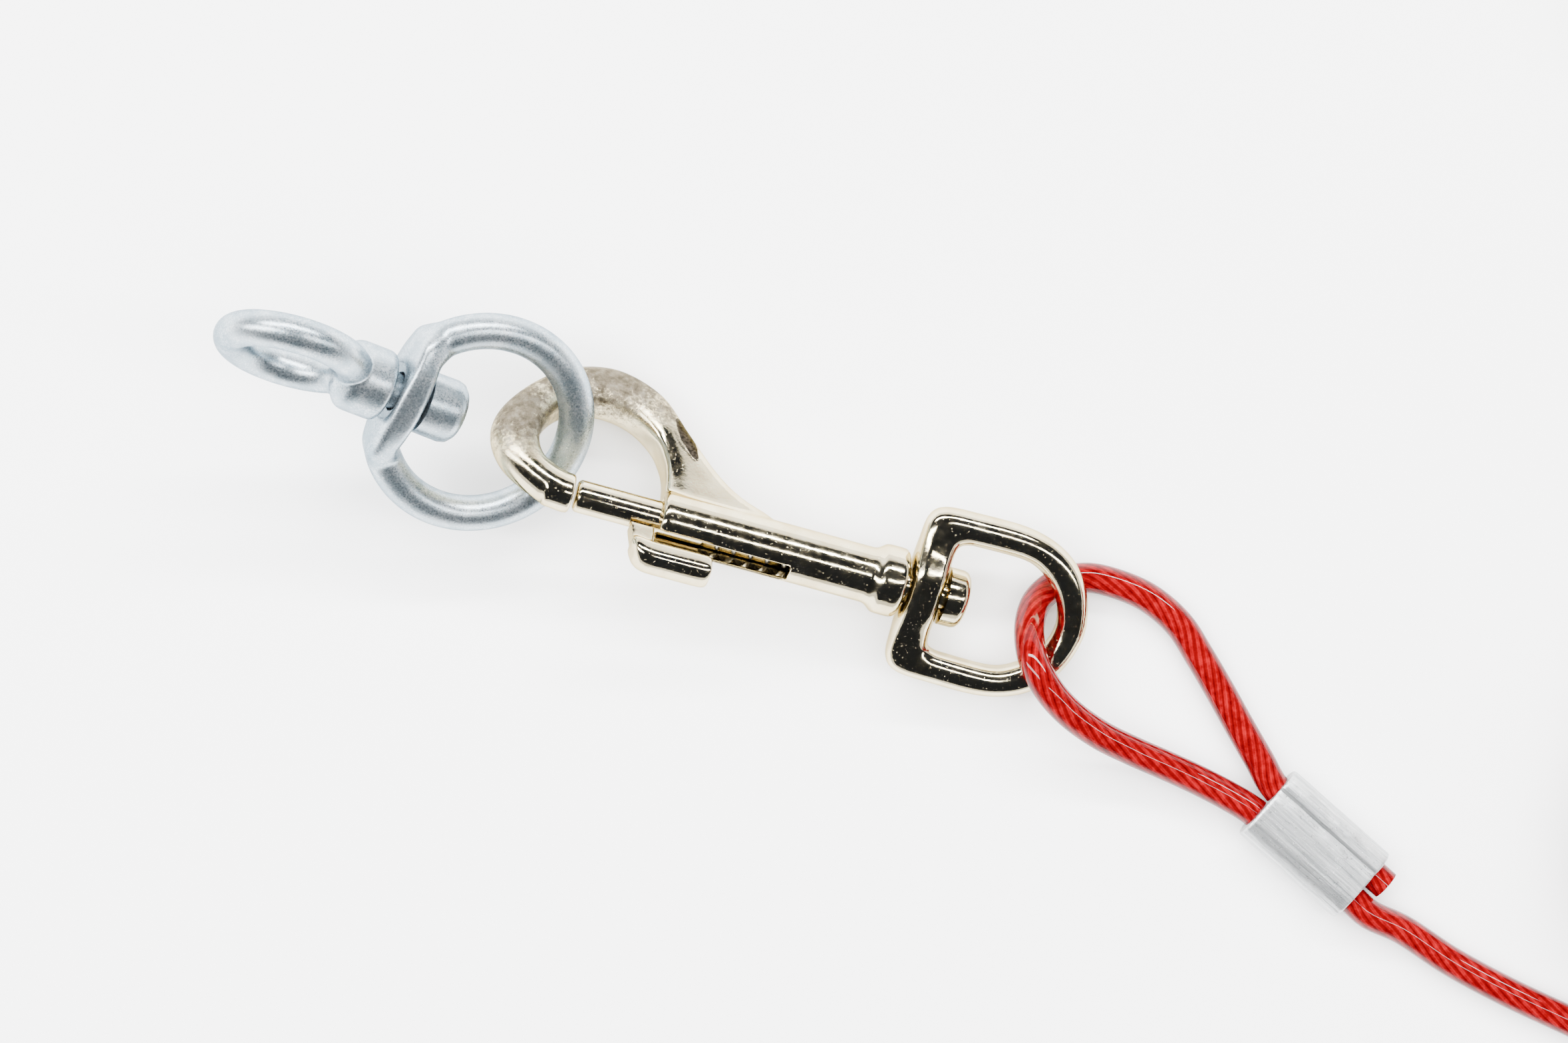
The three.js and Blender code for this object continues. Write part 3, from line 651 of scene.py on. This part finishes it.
def snap_body_mesh():
    """Hook and barrel in one casting, with the bolt's bore, the thumb piece's slot and the rivet's hole."""
    barrel = lathe(rounded([(0, 0.5), (0, BARREL_R - 0.5), (0.5, BARREL_R), (BARREL_LENGTH - 1.2, BARREL_R),
                            (BARREL_LENGTH - 0.1, COLLAR_R), (COLLAR_END - 0.5, COLLAR_R),
                            (COLLAR_END, COLLAR_R - 0.5), (COLLAR_END, 0.5)], 0.3))
    tip = lathe([(-15.4, 1.5), (-15.2, 2.4), (-11.9, 2.6), (-11.6, 2.35)])
    slot = box_part((-2, -6, -1.55), (17.9, -0.2, 1.55))
    return cast("snap_body", [edge_loft(HOOK), barrel, tip], fillet=5, voxel=0.26, smooth=4,
                cuts=[rod_part(-3, BORE_DEPTH, BORE_R), slot, rod_part(28.1, 36, 2.5)])


def add_wear(mesh):
    """Where the hook is rubbed and where its plating has gone black, from 0 to 1 at each point."""
    at = np.empty(3 * len(mesh.vertices), np.float32)
    mesh.vertices.foreach_get("co", at)
    at = at.reshape(-1, 3)

    def near(centre, size):
        away = np.linalg.norm((at - np.array(centre)) / np.array(size), axis=1)
        return np.clip(1.25 - away, 0, 1)

    wear = np.maximum.reduce([near((-9, 18, 2), (10, 6, 4.5)), near((-20.5, 9, 2), (5.5, 8, 4.5)),
                              near((-15, 16, 1), (8, 6, 4.5)), 0.7 * near((-2, 15, 2.5), (4, 3, 2))])
    start, end = np.array((0.2, 14.0)), np.array((3.0, 9.0))
    share = np.clip((at[:, :2] - start) @ (end - start) / np.sum((end - start) ** 2), 0, 1)
    away = np.linalg.norm(at[:, :2] - start - share[:, None] * (end - start), axis=1)
    patch = np.clip(1.4 - away / (0.35 + 0.75 * np.sin(math.pi * np.clip(share * 0.8 + 0.15, 0, 1))), 0, 1)
    patch = patch * (at[:, 2] > 0.5)
    for name, values in (("wear", wear), ("patch", patch)):
        mesh.attributes.new(name, "FLOAT", "POINT").data.foreach_set("value", values.astype(np.float32))


def rivet_mesh():
    """The stud that the swivel eye turns on, with its domed head."""
    dome = [(38.7, 3.6), (38.75, 3.85), (40.6, 3.85), (41.1, 3.7), (41.5, 3.25), (41.75, 2.5), (41.88, 1.5),
            (41.9, 0.3)]
    return mesh_of("rivet", *lathe([(28.4, 0.5), (28.4, 2.2), (38.6, 2.2), (38.65, 2.2), *dome]))


def bolt_mesh():
    """The sliding bolt, shut, from its nose at the hook's tip to its tail."""
    profile = [(-11.2, 0.3), (-11.2, 1.75), (-10.8, BOLT_R), (6.1, BOLT_R), (6.2, 2.0), (6.2, 0.3)]
    return mesh_of("bolt", *lathe(rounded(profile, 0.2)))


def prism(outline, half):
    """An outline in the XY plane, half thick on each side of it."""
    return loft([[(x, y, z) for x, y in outline] for z in (-half, half)])


def thumb_mesh():
    """The thumb piece: a stem out of the slot and the lug on its end."""
    stem = [(-3.6, -2.55), (-2.9, -5.2), (-0.35, -5.4), (-0.35, -2.55)]
    lug = [((-2.9, -4.6), (-3.1, -5.6), 1.6, 3, 2), ((-2.2, -4.7), (-2.4, -7.2), 2.1, 4, 2.2),
           ((-0.6, -4.9), (-0.9, -8.3), 2.25, 4, 2.2), ((3, -4.9), (3, -8.4), 2.25, 4, 2.2),
           ((7, -4.9), (7.2, -8.3), 2.25, 4, 2.2), ((7.5, -5.2), (7.8, -7.8), 2.0, 4, 2.2)]
    return cast("thumb", [prism(stem, 1.25), edge_loft(lug)], voxel=0.17, smooth=7)


def dee_mesh():
    """The D-shaped swivel eye: a round bar, with a crossbar that swells over the rivet."""
    stations = [((38.4, 0), (33.5, 0), 3.7, 3.4, 3.4), ((38.4, 2.6), (33.5, 2.8), 3.6, 3.2, 3.2),
                ((38.4, 5.2), (33.5, 6.4), 2.7, 3, 3), ((38.7, 6.8), (33.8, 9.8), 2.35, 2.7, 2.7),
                ((39.8, 7.4), (35.6, 11.4), 2.3, 2.5, 2.5), ((41.4, 7.5), (40.6, 11.75), 2.3, 2.3, 2.3),
                ((47, 7.5), (47, 11.7), 2.3, 2.2, 2.2), ((49.6, 6.8), (51.6, 10.5), 2.3, 2.2, 2.2),
                ((52, 5), (54.9, 8.2), 2.3, 2.2, 2.2), ((53.6, 2.6), (57.1, 4.8), 2.3, 2.2, 2.2),
                ((54.2, 0), (58.2, 0), 2.3, 2.2, 2.2)]
    mirrored = [((a[0], -a[1]), (b[0], -b[1]), h, n, m) for a, b, h, n, m in stations[-2:0:-1]]
    return cast("dee", [edge_loft(stations + mirrored, closed=True)], voxel=0.24, smooth=6,
                cuts=[rod_part(32, 40, 2.5)])


def spring_mesh():
    """The return spring, from the bolt's tail to the end of the bore."""
    turns = np.linspace(0, SPRING_TURNS, SPRING_TURNS * 28 + 1)
    along = SPRING_START + (SPRING_END - SPRING_START) * turns / SPRING_TURNS
    angle = 2 * math.pi * turns
    helix = np.stack([along, SPRING_R * np.cos(angle), SPRING_R * np.sin(angle)], 1)
    return mesh_of("spring", *loft(tube(helix, SPRING_WIRE_R, 8)))


snap_meshes = {"hook": snap_body_mesh(), "rivet": rivet_mesh(), "latch": bolt_mesh(),
               "thumb_lug": thumb_mesh(), "dee": dee_mesh(), "spring": spring_mesh()}
add_wear(snap_meshes["hook"])
for prefix, end, (_, hook, eye) in (("", "near_", NEAR), ("far_", "far_", FAR)):
    for part, matrix, material, body, node in (
            ("hook", hook, WORN, "snap", "snap_body"), ("rivet", hook, NICKEL, "snap", "snap_swivel_rivet"),
            ("latch", hook, NICKEL, "bolt", "snap_bolt"),
            ("thumb_lug", hook, NICKEL, "bolt", "snap_thumb_piece"),
            ("spring", hook, WIRE, "snap", "snap_return_spring"),
            ("dee", eye, NICKEL, "swivel_eye", "snap_swivel_eye")):
        piece = put(end + part, snap_meshes[part].copy(), matrix, material, prefix + body, prefix + node)
        if part == "spring":
            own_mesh(piece)


# ---- swivel, along +X from its small eye to its ring ----
def torus(radius, wire, centre, roll, around=96, sides=32):
    """A round ring about a centre, rolled in degrees about X."""
    section = [(radius + wire * math.cos(b), wire * math.sin(b))
               for b in np.linspace(0, 2 * math.pi, sides, endpoint=False)]
    rings = [[(math.cos(a) * out, math.sin(a) * out, up) for out, up in section]
             for a in np.linspace(0, 2 * math.pi, around, endpoint=False)]
    vertices, faces = loft(rings, closed=True)
    turned = np.array([turn(roll, "X") @ Vector(v) for v in vertices]) + np.array(centre)
    return turned, faces


def ring_mesh():
    """A ring whose wire widens and flattens into the boss that the pin turns in."""
    rings = []
    for degrees in np.linspace(0, 360, 144, endpoint=False):
        off = abs(degrees - 180)
        boss = max(0, 1 - (off / 44) ** 3) if off < 44 else 0
        radius = 12.9
        if off <= 40:
            flat = 10.85 / math.cos(math.radians(off)) - 0.25 * max(0, (off - 22) / 18)
            radius = min(radius, flat)
        half_wide, half_high, power = 2.35 - 0.3 * boss, 2.35 + 2.6 * boss, 2 + 3 * boss
        c, s = math.cos(math.radians(degrees)), math.sin(math.radians(degrees))
        ring = []
        for angle in np.linspace(0, 2 * math.pi, 40, endpoint=False):
            across, up = superellipse(angle, power, power)
            out = radius + half_wide * across
            ring.append((out * c, out * s, half_high * up))
        rings.append(ring)
    return cast("ring", [loft(rings, closed=True)], fillet=2, voxel=0.26, smooth=4,
                cuts=[rod_part(-16, -6, 2.6), rod_part(-16, -12.2, 3.9)])


def small_eye_mesh():
    """The small eye and the shank that the pin joins to the ring."""
    shank = lathe(rounded([(-20.9, 1.0), (-20.6, 2.2), (-19.7, 3.6), (-19.1, 4.45), (-18.3, 4.7),
                           (-14.2, 4.7), (-13.7, 4.25), (-13.7, 0.5)], 0.3))
    return cast("small_eye", [torus(7.9, 2.35, (-26.8, 0, 0), 54), shank], fillet=2, voxel=0.24, smooth=4,
                cuts=[rod_part(-18.3, -12, 2.6)])


def pin_mesh():
    """The pin through the ring's boss, with its head inside the ring."""
    head = [(-8.5, 3.9), (-8.45, 4.15), (-4.6, 4.2), (-3.8, 4.0), (-3.2, 3.4), (-2.95, 2.6), (-2.86, 1.5),
            (-2.85, 0.3)]
    return mesh_of("pin", *lathe([(-18, 0.4), (-18, 2.3), (-8.55, 2.3), *head]))


put("ring", ring_mesh(), SWIVEL, ZINC, "ring", "swivel_ring")
put("small_eye", small_eye_mesh(), SWIVEL, ZINC, "small_eye", "swivel_small_eye")
put("pin", pin_mesh(), SWIVEL, ZINC, "small_eye", "swivel_pin")


# ---- floor, light ----
def lit(name, location, size, energy):
    """An area light that faces the origin."""
    data = bpy.data.lights.new(name, "AREA")
    data.shape, (data.size, data.size_y), data.energy = "RECTANGLE", size, energy
    light = bpy.data.objects.new(name, data)
    light.location = location
    light.rotation_euler = (Vector((0, 0, 0)) - Vector(location)).to_track_quat("-Z", "Y").to_euler()
    bpy.context.collection.objects.link(light)
    return light


FLOOR_HALF, FLOOR_Z = 3, -2e-4
WALL_R, WALL_TOP, WALL_SIDES = 2.8, 0.7, 96
floor_material = Nodes("floor", Roughness=0.6, Specular_IOR_Level=0.2)
floor_material.set("Base Color", (0.93, 0.93, 0.93, 1))


def pale(name, vertices, faces):
    """A piece of the surroundings in the pale floor's material."""
    piece = bpy.data.objects.new(name, mesh_of(name, vertices, faces))
    piece.data.materials.append(floor_material.material)
    bpy.context.collection.objects.link(piece)
    return piece


corners = [(x * FLOOR_HALF, y * FLOOR_HALF, FLOOR_Z) for x, y in ((-1, -1), (1, -1), (1, 1), (-1, 1))]
floor = pale("floor", corners, [(0, 1, 2, 3)])
circle = [(WALL_R * math.cos(a), WALL_R * math.sin(a))
          for a in np.linspace(0, 2 * math.pi, WALL_SIDES, endpoint=False)]
wall_faces = [(i, (i + 1) % WALL_SIDES, WALL_SIDES + (i + 1) % WALL_SIDES, WALL_SIDES + i)
              for i in range(WALL_SIDES)]
wall = pale("wall", [(x, y, z) for z in (FLOOR_Z, WALL_TOP) for x, y in circle], wall_faces)

world = bpy.data.worlds.new("world")
bpy.context.scene.world = world
world.use_nodes = True
world.node_tree.nodes["Background"].inputs["Color"].default_value = (0.027, 0.031, 0.043, 1)
world.node_tree.nodes["Background"].inputs["Strength"].default_value = 1.0
lit("back_softbox", (0, 1.3, 0.26), (3.0, 0.5), 11)
lit("streak", (0, 0.87, 1.03), (2.0, 0.12), 60)
lit("right_streak", (0.8, -0.1, 1.1), (0.08, 1.2), 12)
lit("left_streak", (-0.85, 0.1, 0.95), (0.16, 1.2), 22)
fill = lit("fill", (0, 0, 1.5), (2.0, 2.0), 130)  # lights the floor evenly, and isn't mirrored in the metal
fill.visible_glossy = False
